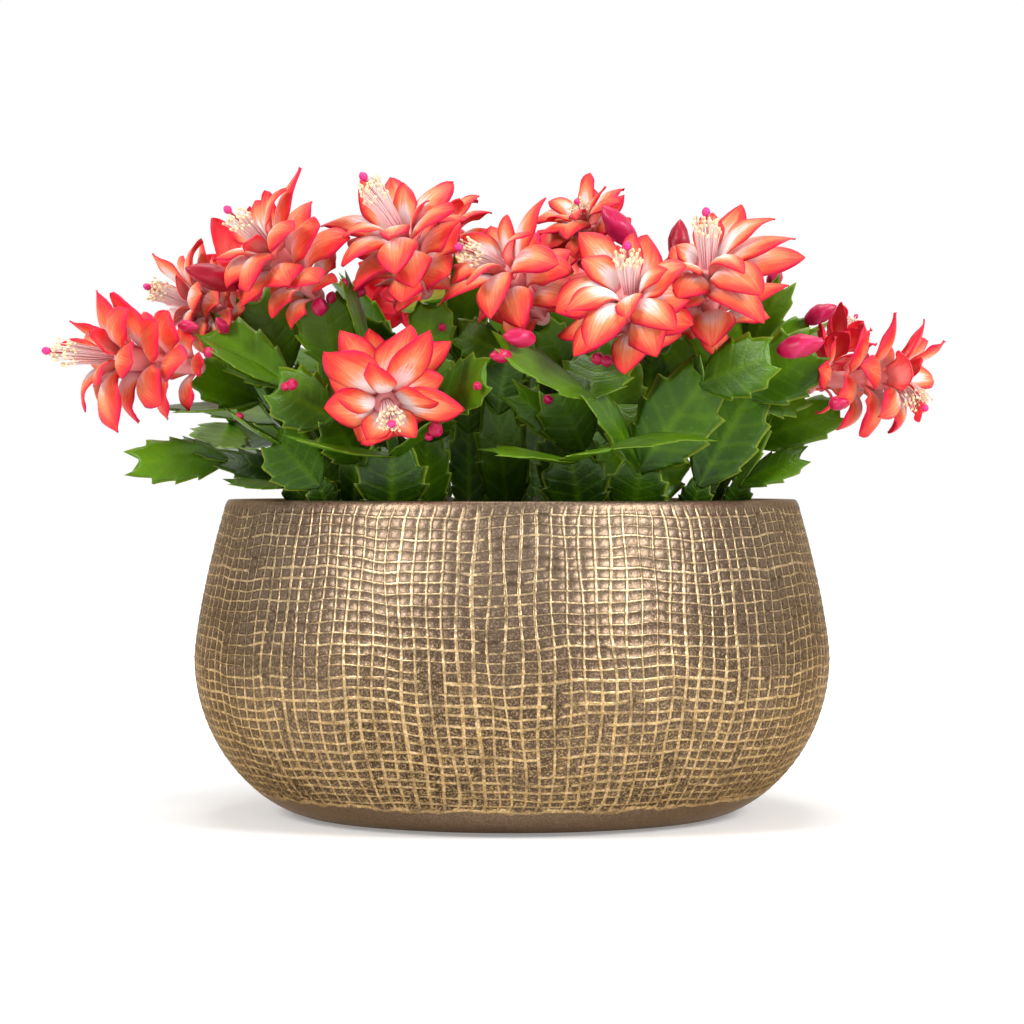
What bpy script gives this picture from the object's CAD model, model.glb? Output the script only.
"""Potted christmas cactus: the finished look of the pot, its soil and the plant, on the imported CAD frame.

Units: tables and shapes are in millimetres and become metres as the meshes are made.
Frame: the origin is the middle of the pot's flat base, +Z is up and the front of the plant faces -Y.
"""

import math
from collections import namedtuple

import bpy
import numpy as np
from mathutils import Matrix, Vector


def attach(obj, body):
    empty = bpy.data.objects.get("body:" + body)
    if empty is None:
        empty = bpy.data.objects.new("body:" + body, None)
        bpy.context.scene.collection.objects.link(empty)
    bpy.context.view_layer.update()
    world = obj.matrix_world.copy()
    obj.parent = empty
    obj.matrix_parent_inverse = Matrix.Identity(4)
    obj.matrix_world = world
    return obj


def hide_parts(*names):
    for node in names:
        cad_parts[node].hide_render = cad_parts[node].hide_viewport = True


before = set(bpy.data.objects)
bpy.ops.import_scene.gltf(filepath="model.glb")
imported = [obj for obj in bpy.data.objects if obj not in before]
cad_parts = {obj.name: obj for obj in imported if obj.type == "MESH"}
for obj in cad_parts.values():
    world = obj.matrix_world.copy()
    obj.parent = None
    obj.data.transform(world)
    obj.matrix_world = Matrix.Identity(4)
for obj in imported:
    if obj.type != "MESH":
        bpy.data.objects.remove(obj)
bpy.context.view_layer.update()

MM = 0.001

# ---------------------------------------------------------------- driving sizes, in millimetres

POT_HEIGHT = 148.0
POT_BELLY_HEIGHT = 74.0
POT_BELLY_RADIUS = 150.0
POT_RIM_RADIUS = 134.6
POT_BASE_RADIUS = 96.0
POT_WALL = 7.0
POT_FLOOR = 9.0
POT_RIM_ROUNDING = 1.5
LOWER_BELLY_POWER = 0.62
UPPER_BELLY_POWER = 1.4

SOIL_TOP = 136.0
SOIL_CROWN = 138.0

ROOT_DEPTH = 11.0
ROOT_RISE = 3.5

JOINT_OVERLAP = 1.5

# Directions that a segment's flat face looks towards.
FACINGS = {
    "front": (0.0, -1.0, 0.25),
    "up": (0.0, -0.25, 1.0),
    "rise": (0.0, -0.57, 0.82),
    "left": (-1.0, -0.3, 0.3),
    "right": (1.0, -0.3, 0.3),
}

# Front stems. Each one is its root's place on the soil, then its segments as
# (segment that it grows from, tip x, tip y, tip z, width, facing), where ROOT is the buried foot.
ROOT = -1
FRONT_STEMS = {
    "stem_front_right": ((54, -80), (
        (ROOT, 57, -88, 162, 26, "front"),
        (0, 84, -98, 200, 33, "front"),
        (0, 53, -76, 190, 24, "front"),
        (0, 35, -104, 194, 30, "right"),
        (3, 39, -88, 211, 30, "rise"),
        (3, -3, -122, 215, 26, "rise"),
        (1, 71, -84, 216, 20, "left"),
        (1, 112, -112, 211, 26, "front"),
        (ROOT, 72, -62, 172, 24, "front"),
        (ROOT, 44, -74, 172, 18, "front"),
    )),
    "stem_mid_right": ((80, -76), (
        (ROOT, 84, -82, 155, 14, "front"),
        (0, 106, -84, 195, 29, "front"),
        (1, 133, -92, 215, 29, "front"),
        (1, 130, -76, 197, 22, "front"),
    )),
    "stem_low_right": ((84, -50), (
        (ROOT, 93, -50, 155, 16, "left"),
        (0, 108, -54, 174, 18, "left"),
        (1, 147, -68, 188, 20, "front"),
    )),
    "stem_rim_right": ((99, -64), (
        (ROOT, 104, -68, 155, 12, "front"),
        (0, 130, -74, 167, 22, "rise"),
    )),
    "stem_centre_wedge": ((31, -98), (
        (ROOT, 26, -106, 165, 28, "front"),
        (0, -6, -126, 169, 24, "up"),
        (0, 41, -128, 170, 26, "up"),
    )),
    "stem_left_wedge": ((-53, -96), (
        (ROOT, -53, -104, 168, 29, "front"),
        (0, -29, -124, 185, 22, "up"),
        (0, -91, -130, 174, 22, "up"),
    )),
    "stem_front_left": ((-80, -86), (
        (ROOT, -86, -91, 155, 14, "front"),
        (0, -104, -94, 174, 26, "front"),
        (1, -123, -104, 186, 22, "up"),
    )),
    "stem_low_left": ((-92, -56), (
        (ROOT, -101, -60, 156, 12, "front"),
        (0, -130, -66, 166, 22, "rise"),
        (1, -168, -78, 165, 19, "front"),
        (1, -149, -62, 175, 18, "up"),
    )),
    "stem_rim_left": ((-84, -76), (
        (ROOT, -98, -78, 155, 14, "up"),
        (0, -124, -86, 156, 18, "up"),
    )),
    "stem_bright_left": ((-72, -66), (
        (ROOT, -69, -82, 166, 16, "front"),
        (0, -79, -108, 184, 22, "front"),
        (1, -102, -116, 198, 26, "front"),
    )),
    "stem_arch_left": ((-89, -44), (
        (ROOT, -97, -50, 162, 16, "left"),
        (0, -103, -58, 181, 18, "left"),
        (1, -115, -63, 193, 19, "left"),
        (2, -140, -92, 204, 20, "front"),
        (2, -149, -96, 188, 20, "up"),
    )),
    "stem_high_left": ((-80, -52), (
        (ROOT, -85, -60, 168, 16, "front"),
        (0, -100, -80, 200, 22, "left"),
        (1, -131, -108, 214, 20, "rise"),
        (1, -134, -78, 224, 22, "front"),
    )),
    "stem_top_left": ((-75, -30), (
        (ROOT, -82, -36, 166, 16, "front"),
        (0, -98, -44, 185, 20, "front"),
        (1, -103, -56, 206, 22, "front"),
        (2, -116, -64, 238, 26, "front"),
    )),
    "stem_round_left": ((-64, -62), (
        (ROOT, -70, -70, 175, 18, "front"),
        (0, -79, -84, 208, 22, "front"),
        (1, -84, -92, 236, 26, "front"),
    )),
    "stem_edge_left": ((-54, -70), (
        (ROOT, -55, -78, 180, 18, "right"),
        (0, -63, -92, 209, 20, "right"),
        (1, -73, -104, 243, 20, "right"),
    )),
    "stem_centre_left": ((-39, -64), (
        (ROOT, -38, -78, 175, 20, "front"),
        (0, -34, -92, 193, 20, "front"),
        (1, -12, -122, 202, 24, "front"),
        (1, -36, -88, 210, 20, "front"),
        (3, -36, -90, 234, 20, "front"),
    )),
    "stem_centre_dark": ((-2, -52), (
        (ROOT, -6, -72, 188, 22, "front"),
        (0, -2, -80, 213, 20, "front"),
        (1, -23, -88, 223, 18, "front"),
    )),
    "stem_centre": ((40, -60), (
        (ROOT, 32, -76, 171, 18, "front"),
        (0, 20, -90, 196, 25, "front"),
        (0, 2, -88, 195, 16, "front"),
    )),
    "stem_centre_high": ((22, -40), (
        (ROOT, 23, -46, 180, 20, "front"),
        (0, 24, -54, 210, 22, "front"),
        (1, 20, -60, 251, 22, "front"),
        (1, 15, -72, 225, 18, "front"),
        (1, 42, -34, 254, 18, "front"),
    )),
    "stem_high_right": ((59, -30), (
        (ROOT, 62, -36, 185, 20, "front"),
        (0, 64, -40, 212, 22, "front"),
        (1, 66, -40, 238, 22, "front"),
        (2, 57, -44, 262, 18, "front"),
        (2, 77, -30, 256, 18, "front"),
    )),
    "stem_top_right": ((88, -30), (
        (ROOT, 100, -38, 185, 18, "front"),
        (0, 107, -58, 216, 24, "front"),
        (1, 122, -74, 244, 15, "front"),
        (1, 99, -64, 232, 20, "front"),
        (1, 134, -60, 227, 12, "front"),
    )),
    "stem_middle_high": ((-20, -25), (
        (ROOT, -20, -30, 180, 18, "front"),
        (0, -21, -34, 210, 22, "front"),
        (1, -23, -34, 244, 22, "front"),
        (1, -21, -64, 253, 18, "front"),
    )),
}

# Stems of the middle, the sides and the back stand on rings and arch outwards: azimuths in degrees
# (0 is +X and 90 is the back), root radius, and each segment's (length, angle above level, width).
STEM_RINGS = {
    "stem_inner": ((350, 90, 190), 30.0, ((34, 82, 18), (46, 66, 26), (42, 48, 27))),
    "stem_upper": ((48, 78, 108, 140), 54.0, ((30, 82, 18), (46, 62, 27), (44, 42, 30), (40, 20, 28))),
    "stem_side": ((6, 173), 94.0, ((28, 80, 18), (42, 62, 27), (40, 40, 28))),
    "stem_lower": ((42, 66, 90, 114, 138), 90.0, ((24, 74, 18), (38, 44, 27), (42, 12, 29), (32, -14, 26))),
}
RING_SWAY = 7.0
RING_ROLL = 24.0
HEADING_RATES = (2.4, 1.7)
RISE_RATES = (1.3, 2.1)
ROLL_RATES = (1.9, 2.6)

# Ring stems fork wherever there is room: each try turns off the parent segment and lifts, in degrees.
FORK_TRIES = (
    (42, 10), (-42, 10), (58, 28), (-58, 28), (34, -22), (-34, -22), (75, 0), (-75, 0), (110, 30), (-110, 30),
)
FORK_ROUNDS = 6
FORK_LENGTH = 40.0
FORK_WIDTH = 26.0
FORK_ROLL = 38.0
FORK_ROLL_RATE = 2.9
FORK_RISE_KEPT = 0.7
JOINT_CORNER = 0.15
SEGMENT_ROOM = 5.0
FLOWER_ROOM = 28.0
FILLING_STEP_BACK = 3.0
FILLING_HEIGHT = 222.0
POT_ROOM = 4.0
PLATE_ALONG = (0.3, 0.45, 0.6, 0.75, 0.9, 1.05)
PLATE_ACROSS = (-1.0, -0.5, 0.0, 0.5, 1.0)
TUBE_ALONG = (0.4, 0.7, 1.0)
CROWN_MIDDLE = Vector((0.0, 25.0, 150.0))
CROWN_REACH = Vector((165.0, 175.0, 106.0))

# Flowers: (base, mouth, tip of the style, size), all in millimetres except the size, which is a share.
FLOWERS = {
    "flower_far_left": ((-137, -92, 207), (-175, -115, 211), (-201, -130, 213), 1.0),
    "flower_pale_left": ((-123, -56, 230), (-145, -64, 237), (-164, -73, 244), 0.9),
    "flower_high_left": ((-85, -88, 237), (-108, -103, 260), (-124, -115, 275), 1.0),
    "flower_top": ((-38, -84, 239), (-49, -100, 266), (-65, -108, 290), 1.05),
    "flower_top_behind": ((-24, -30, 246), (-31, -35, 274), (-33, -40, 291), 0.8),
    "flower_middle": ((15, -78, 228), (-4, -100, 252), (-23, -112, 259), 1.0),
    "flower_rear_right": ((41, -24, 259), (33, -32, 277), (30, -40, 285), 0.8),
    "flower_centre": ((60, -92, 219), (51, -117, 239), (50, -128, 258), 1.05),
    "flower_right": ((90, -80, 222), (86, -102, 251), (85, -112, 274), 1.05),
    "flower_half_open": ((135, -52, 197), (152, -46, 221), (158, -44, 232), 0.6),
    "flower_far_right": ((134, -84, 202), (172, -95, 202), (181, -110, 189), 0.95),
    "flower_front": ((-59, -94, 198), (-54, -134, 190), (-51, -160, 181), 1.0),
}

# Flowers and buds that carry on from the end of a ring stem's main arch.
RING_FLOWERS = {
    "flower_back_left": "stem_upper_4",
    "flower_back_middle": "stem_upper_3",
    "flower_back_right": "stem_upper_2",
    "flower_back_low": "stem_lower_3",
}
RING_BUDS = {
    "bud_back_right": ("stem_upper_1", 12.0),
}
RING_FLOWER_TUBE = 34.0
RING_FLOWER_STYLE = 20.0
RING_BUD_LENGTH = 22.0

# Buds: (base, tip, full thickness).
BUDS = {
    "bud_left": ((-121, -86, 244), (-145, -96, 251), 12.0),
    "bud_top_middle": ((56, -50, 264), (41, -54, 282), 12.0),
    "bud_top_right": ((77, -30, 257), (78, -30, 278), 11.0),
    "bud_right_high": ((133, -62, 229), (147, -66, 236), 9.0),
    "bud_right": ((117, -104, 214), (137, -112, 218), 11.0),
}
# Small buds and the pink scars on segment tips: (middle, size along, size across, direction).
SMALL_BUDS = (
    ((-85, -100, 234), 9.0, 8.0, (0.1, -0.5, 0.8)),
    ((-80, -98, 238), 6.0, 5.0, (0.3, -0.4, 0.8)),
    ((-96, -119, 199), 6.0, 5.5, (0.0, -0.8, 0.5)),
    ((-99, -119, 198), 4.5, 4.0, (-0.5, -0.7, 0.4)),
    ((-5, -127, 211), 10.0, 6.5, (-1.0, -0.3, 0.0)),
    ((3, -124, 219), 15.0, 9.0, (-1.0, -0.4, 0.1)),
    ((38, -98, 211), 6.0, 6.5, (0.0, -0.6, 0.7)),
    ((42, -99, 210), 6.0, 6.0, (0.1, -0.6, 0.7)),
    ((-33, -129, 179), 7.0, 7.0, (0.4, -0.8, 0.1)),
    ((-36, -128, 176), 4.0, 4.0, (0.2, -0.8, -0.2)),
    ((-133, -110, 213), 5.5, 5.0, (0.6, -0.6, -0.1)),
    ((-129, -92, 226), 9.0, 5.5, (-0.5, -0.4, 0.7)),
    ((-143, -101, 225), 10.0, 6.0, (0.9, -0.3, -0.1)),
    ((16, -95, 193), 5.5, 4.5, (-0.3, -0.7, 0.4)),
    ((-15, -125, 198), 4.5, 4.0, (0.2, -0.9, 0.2)),
    ((-67, -89, 241), 5.0, 4.5, (0.2, -0.6, 0.7)),
    ((-74, -105, 244), 4.5, 4.0, (0.0, -0.5, 0.8)),
    ((-120, -107, 185), 4.0, 4.0, (-0.8, -0.4, 0.1)),
    ((-31, -93, 225), 4.0, 4.0, (0.2, -0.9, 0.3)),
    ((144, -105, 191), 9.0, 7.0, (0.9, -0.4, 0.1)),
    ((119, -66, 249), 11.0, 7.5, (0.3, -0.2, 0.9)),
    ((-10, -70, 263), 7.0, 6.0, (0.1, -0.2, 1.0)),
    ((11, -44, 268), 6.0, 5.0, (-0.2, -0.2, 0.9)),
)

# ---------------------------------------------------------------- shared shapes

def across(axis, hint):
    """Two unit vectors across an axis: the first as near as it can be to the hint, then the other one."""
    normal = (hint - axis * hint.dot(axis)).normalized()
    return normal, axis.cross(normal).normalized()


def pot_radius(height):
    """The pot's outer radius: a bowl that swells from its base and draws in to its rim."""
    if height < POT_BELLY_HEIGHT:
        share = (POT_BELLY_HEIGHT - height) / POT_BELLY_HEIGHT
        swell = (1.0 - share**2) ** LOWER_BELLY_POWER
        return POT_BASE_RADIUS + (POT_BELLY_RADIUS - POT_BASE_RADIUS) * swell
    share = (height - POT_BELLY_HEIGHT) / (POT_HEIGHT - POT_BELLY_HEIGHT)
    return POT_RIM_RADIUS + (POT_BELLY_RADIUS - POT_RIM_RADIUS) * (1.0 - share**UPPER_BELLY_POWER)


# ---------------------------------------------------------------- where the stems grow

Segment = namedtuple("Segment", "base tip width facing")


def foot_top(root):
    return Vector((*root, SOIL_CROWN + ROOT_RISE - JOINT_OVERLAP))


def front_segments(root, rows):
    """The segments of a front stem, each from the end of the one that it grows from."""
    ends = {ROOT: foot_top(root)}
    segments = []
    for index, (parent, x, y, z, width, facing) in enumerate(rows):
        ends[index] = Vector((x, y, z))
        segments.append(Segment(ends[parent], ends[index], width, Vector(FACINGS[facing])))
    return segments


def turn_of(rates, index, step):
    """An angle that differs from stem to stem and from segment to segment."""
    return rates[0] * index + rates[1] * step


def ring_segments(azimuth, root, chain, index):
    """A stem that arches out along one azimuth, with a little sway and roll from segment to segment."""
    point = foot_top(root)
    segments = []
    for step, (length, climb, width) in enumerate(chain):
        heading = azimuth + math.radians(RING_SWAY * math.sin(turn_of(HEADING_RATES, index, step)))
        rise = math.radians(climb + RING_SWAY * math.cos(turn_of(RISE_RATES, index, step)))
        roll = math.radians(RING_ROLL * math.sin(turn_of(ROLL_RATES, index, step)))
        axis, facing = aimed(heading, rise, roll)
        segments.append(Segment(point, point + axis * length, width, facing))
        point = point + axis * length
    return segments


def aimed(heading, rise, roll):
    """A segment's direction, and the way that its flat face looks when it is rolled off straight up."""
    level = Vector((math.cos(heading), math.sin(heading), 0.0))
    up = Vector((0.0, 0.0, 1.0))
    axis = level * math.cos(rise) + up * math.sin(rise)
    upper = up * math.cos(rise) - level * math.sin(rise)
    return axis, upper * math.cos(roll) + axis.cross(upper) * math.sin(roll)


def plate_points(segment):
    """Points spread over a flat segment, past the joint that it starts from."""
    axis = (segment.tip - segment.base).normalized()
    side = across(axis, segment.facing)[1] * (segment.width / 2)
    return np.array([
        segment.base.lerp(segment.tip, along) + side * sideways
        for along in PLATE_ALONG
        for sideways in PLATE_ACROSS
    ])


def flower_points(base, mouth):
    """Points along a flower's tube, from its lowest petals to its mouth."""
    return np.array([base.lerp(mouth, along) for along in TUBE_ALONG])


def is_near(points, others, room):
    distances = np.linalg.norm(points[:, None, :] - others[None, :, :], axis=2)
    return bool(distances.min() < room)


def in_crown(point):
    offset = point - CROWN_MIDDLE
    return sum((offset[axis] / CROWN_REACH[axis]) ** 2 for axis in range(3)) < 1.0


def clears_pot(points):
    """Whether points lie above the soil, and above the rim where they reach over the wall."""
    over_wall = np.hypot(points[:, 0], points[:, 1]) > POT_RIM_RADIUS - POT_WALL - POT_ROOM
    lowest = np.where(over_wall, POT_HEIGHT, SOIL_CROWN) + POT_ROOM
    return bool((points[:, 2] > lowest).all())


def fork_from(parent, turn, lift, count):
    """A segment from a corner of its parent's end, turned off the parent's heading and lifted."""
    along = parent.tip - parent.base
    heading = math.atan2(along.y, along.x) + math.radians(turn)
    rise = math.asin(along.normalized().z) * FORK_RISE_KEPT + math.radians(lift)
    axis, facing = aimed(heading, rise, math.radians(FORK_ROLL * math.sin(FORK_ROLL_RATE * count)))
    side = across(along.normalized(), parent.facing)[1]
    corner = side * (JOINT_CORNER * parent.width * math.copysign(1.0, side.dot(axis)))
    base = parent.tip + corner
    return Segment(base, base + axis * FORK_LENGTH, FORK_WIDTH, facing)


def is_filling(fork):
    """Whether a fork lies inside the crown, growing back from the front and staying low."""
    steps_back = fork.tip.y - fork.base.y > FILLING_STEP_BACK
    return steps_back and fork.tip.z < FILLING_HEIGHT and in_crown(fork.tip)


def is_in_outline(fork):
    return in_crown(fork.tip)


def has_room(points, parent, taken, blooms):
    """Whether a fork stays clear of the flowers and of every segment but the one that it grows from."""
    if is_near(points, blooms, FLOWER_ROOM):
        return False
    return not any(is_near(points, others, SEGMENT_ROOM) for other, others in taken if other is not parent)


def grow_forks(stems, names, flowers, is_wanted):
    """Adds wanted forks to the named stems, round after round, wherever there is room."""
    taken = [(segment, plate_points(segment)) for segments in stems.values() for segment in segments]
    blooms = np.concatenate([flower_points(base, mouth) for base, mouth in flowers])
    grown = 0
    for _ in range(FORK_ROUNDS):
        for name in names:
            for parent in list(stems[name]):
                for turn, lift in FORK_TRIES:
                    fork = fork_from(parent, turn, lift, grown)
                    points = plate_points(fork)
                    if is_wanted(fork) and clears_pot(points) and has_room(points, parent, taken, blooms):
                        stems[name].append(fork)
                        taken.append((fork, points))
                        grown += 1
                        break


def plan_stems():
    """Every stem's root and segments, by name, and where the flowers and buds of the ring stems stand."""
    roots = {name: root for name, (root, _) in FRONT_STEMS.items()}
    stems = {name: front_segments(root, rows) for name, (root, rows) in FRONT_STEMS.items()}
    for ring, (azimuths, root_radius, chain) in STEM_RINGS.items():
        for index, degrees in enumerate(azimuths):
            name = f"{ring}_{index + 1}"
            azimuth = math.radians(degrees)
            roots[name] = (root_radius * math.cos(azimuth), root_radius * math.sin(azimuth))
            stems[name] = ring_segments(azimuth, roots[name], chain, index)
    ends = {name: stems[name][-1] for name in roots if name not in FRONT_STEMS}
    flowers = [(Vector(base), Vector(mouth)) for base, mouth, _, _ in FLOWERS.values()]
    flowers += [beyond(ends[stem], RING_FLOWER_TUBE) for stem in RING_FLOWERS.values()]
    flowers += [beyond(ends[stem], RING_BUD_LENGTH) for stem, _ in RING_BUDS.values()]
    grow_forks(stems, list(ends), flowers, is_in_outline)
    grow_forks(stems, list(FRONT_STEMS), flowers, is_filling)
    return roots, stems, ends


def beyond(segment, length):
    """The end of a segment, and the point at a length straight on from it."""
    return segment.tip, segment.tip + (segment.tip - segment.base).normalized() * length


# ---------------------------------------------------------------- meshes from rows of points

MESH_ATTRIBUTES = ("tone", "along", "edge", "rib", "under")

# What a tube's rings are turned towards: one direction for level tubes and one for steep ones.
LEVEL_HINT = (0.13, 0.29, 0.95)
STEEP_HINT = (0.95, 0.2, 0.1)
STEEP_SHARE = 0.9


class Shell:
    """Closed tubes of points collected into one mesh, with a value of each attribute at every point."""

    def __init__(self):
        self.points = []
        self.faces = []
        self.materials = []
        self.values = {name: [] for name in MESH_ATTRIBUTES}
        self.count = 0

    def add(self, rows, material, **values):
        """Adds rows[ring, place, xyz] as a tube whose rings close and whose ends are capped."""
        rings, places, _ = rows.shape
        index = np.arange(rings * places).reshape(rings, places) + self.count
        following = np.roll(index, -1, axis=1)
        sides = np.stack([index[:-1], following[:-1], following[1:], index[1:]], axis=-1).reshape(-1, 4)
        self.faces += sides.tolist()
        self.faces.append(index[0][::-1].tolist())
        self.faces.append(index[-1].tolist())
        self.materials += [material] * (len(sides) + 2)
        self.points.append(rows.reshape(-1, 3))
        for name in MESH_ATTRIBUTES:
            value = np.broadcast_to(np.asarray(values.get(name, 0.0), float), (rings, places))
            self.values[name].append(value.reshape(-1))
        self.count += rings * places

    def build(self, name, materials):
        """Makes the mesh object, in metres."""
        mesh = bpy.data.meshes.new(name)
        mesh.from_pydata(np.concatenate(self.points) * MM, [], self.faces)
        for attribute, values in self.values.items():
            layer = mesh.attributes.new(attribute, "FLOAT", "POINT")
            layer.data.foreach_set("value", np.concatenate(values).astype(np.float32))
        for material in materials:
            mesh.materials.append(material)
        mesh.polygons.foreach_set("material_index", self.materials)
        mesh.shade_smooth()
        obj = bpy.data.objects.new(name, mesh)
        bpy.context.scene.collection.objects.link(obj)
        return obj


def finish_piece(obj, slot, *nodes):
    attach(obj, "root")
    if nodes:
        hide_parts(*nodes)


def unit(vector):
    return vector / np.linalg.norm(vector)


def smooth(values):
    clipped = np.clip(values, 0.0, 1.0)
    return clipped * clipped * (3.0 - 2.0 * clipped)


def frame_along(axis, hint):
    """Unit vectors across an axis: one towards the hint, and one beside it."""
    upper = unit(hint - axis * hint.dot(axis))
    return upper, np.cross(axis, upper)


def circle(places):
    return np.linspace(0.0, math.tau, places, endpoint=False)


def flat_ring(places):
    """A ring round a flat piece: each place's share across it from -1 to 1, and 1 where it is on the back."""
    front = np.linspace(-1.0, 1.0, places)
    span = np.concatenate([front, front[-2:0:-1]])[None, :]
    is_back = np.concatenate([np.zeros(places), np.ones(places - 2)])[None, :]
    return span, is_back


def ridge(span, width):
    """1 along a flat piece's middle, falling off to both sides."""
    return np.exp(-((span / width) ** 2))


def laid_out(spine, side, sideways, normal, height):
    """Rows of points from a spine's points, moved sideways and along its normals."""
    return spine + side * sideways[..., None] + normal * height[..., None]


def add_tube(shell, path, radii, places, material, **values):
    """A round tube along a path of points, with one radius at each."""
    path = np.asarray(path, float)
    steps = np.gradient(path, axis=0)
    turns = circle(places)[:, None]
    hint = np.array(LEVEL_HINT if abs(unit(steps[0])[2]) < STEEP_SHARE else STEEP_HINT)
    rows = []
    for point, step, radius in zip(path, steps, radii):
        upper, beside = frame_along(unit(step), hint)
        rows.append(point + (np.cos(turns) * upper + np.sin(turns) * beside) * radius)
    shell.add(np.array(rows), material, **values)


# ---------------------------------------------------------------- flat segments of the stems

SEGMENT_ROWS = 46
SEGMENT_PLACES = 11
OUTLINE_ALONG = (0.0, 0.05, 0.14, 0.28, 0.45, 0.62, 0.80, 0.93, 1.0)
OUTLINE_WIDTH = (0.17, 0.26, 0.52, 0.80, 0.95, 1.0, 0.93, 0.72, 0.52)
FIRST_TOOTH = 0.12
TOOTH_PITCH = 0.255
TOOTH_PEAK = 0.8
TOOTH_POWER = 1.7
TOOTH_DEPTH = 0.19
TOOTH_REACH = 0.055
TOOTHLESS_FOOT = (0.06, 0.12)
END_STARTS = 0.86
HORN_REACH = 0.13
HORN_NOTCH = 0.02
SEGMENT_SINK = 1.2
PLATE_THICKNESS = 1.5
RIB_THICKNESS = 0.9
SKIN_THICKNESS = 0.22
RIB_WIDTH = 0.13
RIB_COLOUR_WIDTH = 0.11
EDGE_WAVES = 1.55

# Each segment's own bow, cup, twist, edge wave and tooth size lie in these ranges.
BOW_RANGE = (-0.03, 0.06)
CUP_RANGE = (0.02, 0.16)
TWIST_RANGE = (-0.12, 0.12)
EDGE_WAVE_RANGE = (0.0, 0.6)
TOOTH_SIZE_RANGE = (0.8, 1.25)
TOOTH_PHASE_RANGE = (-0.05, 0.05)

# A stem's round foot, from inside its socket: (height, radius).
FOOT_PROFILE = (
    (SOIL_TOP - ROOT_DEPTH + 0.5, 3.2),
    (SOIL_CROWN - 4.0, 3.3),
    (SOIL_CROWN, 3.0),
    (SOIL_CROWN + 5.0, 2.5),
    (SOIL_CROWN + 11.0, 1.6),
)
CROWN_HEIGHT = 110.0


def tooth_wave(along, phase):
    """How far the margin stands out: it swells towards each tooth's tip, then drops behind it."""
    turn = (along - FIRST_TOOTH + phase) / TOOTH_PITCH
    share = turn - np.floor(turn)
    drop = 1.0 - (share - TOOTH_PEAK) / (1.0 - TOOTH_PEAK)
    wave = np.where(share < TOOTH_PEAK, (share / TOOTH_PEAK) ** TOOTH_POWER, drop)
    start, length = TOOTHLESS_FOOT
    return wave * smooth((along - start) / length)


def add_segment(shell, segment, chance, tone):
    """One flat segment: toothed margins, a raised mid-rib, horned tip, and a little bow and cup."""
    base, tip = np.array(segment.base), np.array(segment.tip)
    axis = unit(tip - base)
    normal, side = frame_along(axis, np.array(segment.facing))
    base = base - axis * SEGMENT_SINK
    length = np.linalg.norm(tip - base)
    half = segment.width / 2
    bow = chance.uniform(*BOW_RANGE) * length
    cup = chance.uniform(*CUP_RANGE) * half
    twist = chance.uniform(*TWIST_RANGE)
    wave_height = chance.uniform(*EDGE_WAVE_RANGE)
    wave_phase = chance.uniform(0.0, math.tau)
    tooth_size = chance.uniform(*TOOTH_SIZE_RANGE)
    phases = chance.uniform(*TOOTH_PHASE_RANGE, 2)

    along = np.linspace(0.0, 1.0, SEGMENT_ROWS)[:, None]
    span, is_back = flat_ring(SEGMENT_PLACES)
    edge = np.abs(span)
    end = smooth((along - END_STARTS) / (1.0 - END_STARTS))
    margin = edge**5
    tooth = tooth_wave(along, np.where(span < 0, *phases)) * tooth_size * margin
    outline = np.interp(along, OUTLINE_ALONG, OUTLINE_WIDTH)
    sideways = span * half * (outline + TOOTH_DEPTH * tooth * (1.0 - 0.4 * end))
    horn = HORN_REACH * end * edge**3 - HORN_NOTCH * end * (1.0 - span**2)
    forward = along + TOOTH_REACH * tooth + horn
    hump = np.sin(np.pi * along)
    body = (1.0 - edge**2.6) * PLATE_THICKNESS * (0.55 + 0.45 * np.sqrt(hump))
    rib = ridge(span, RIB_WIDTH) * RIB_THICKNESS * (1.15 - 0.7 * along)
    thick = (SKIN_THICKNESS + 0.5 * body + 0.5 * rib) * (edge < 1.0)
    height = bow * np.sin(np.pi * forward) + cup * (span**2 - 0.3) * hump**0.7
    height += wave_height * margin * np.sin(EDGE_WAVES * math.tau * along + wave_phase)
    height += sideways * twist * (forward - 0.5) * hump
    height += np.where(is_back > 0, -thick, thick)
    spine = base + axis * (forward * length)[..., None]
    rows = laid_out(spine, side, sideways, normal, height)
    colour_rib = ridge(span, RIB_COLOUR_WIDTH)
    shell.add(rows, 0, tone=tone, along=along, edge=edge, rib=colour_rib, under=is_back)


def add_foot(shell, root):
    """The round, woody foot of a stem, from inside its socket to its first segment."""
    heights, radii = np.array(FOOT_PROFILE).T[:, :, None]
    turns = circle(12)[None, :]
    x = root[0] + radii * np.cos(turns)
    y = root[1] + radii * np.sin(turns)
    shell.add(np.stack([x, y, heights + 0.0 * turns], axis=-1), 1, tone=0.2, along=0.5)


def rounded(point):
    return tuple(round(value, 3) for value in point)


def build_stems(roots, stems, green, wood):
    """Higher segments are younger, and so lighter, and the last ones of a stem lighter still."""
    chance = np.random.default_rng(7)
    for name, segments in stems.items():
        shell = Shell()
        add_foot(shell, roots[name])
        bases = {rounded(segment.base) for segment in segments}
        for segment in segments:
            youth = 0.3 if rounded(segment.tip) not in bases else 0.0
            height = (segment.tip.z - SOIL_CROWN) / CROWN_HEIGHT
            tone = np.clip(0.25 + 0.35 * height + youth + chance.uniform(-0.2, 0.2), 0.0, 1.0)
            add_segment(shell, segment, chance, tone)
        finish_piece(shell.build("leafy_" + name, (green, wood)), "green_stem", name)


# ---------------------------------------------------------------- flowers

PETAL_ROWS = 19
PETAL_PLACES = 11
PETAL_ALONG = (0.0, 0.10, 0.22, 0.38, 0.52, 0.66, 0.78, 0.88, 0.95, 1.0)
PETAL_WIDTH = (0.44, 0.52, 0.68, 0.90, 1.0, 0.95, 0.78, 0.52, 0.27, 0.03)
PETAL_THICKNESS = 0.35

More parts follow.
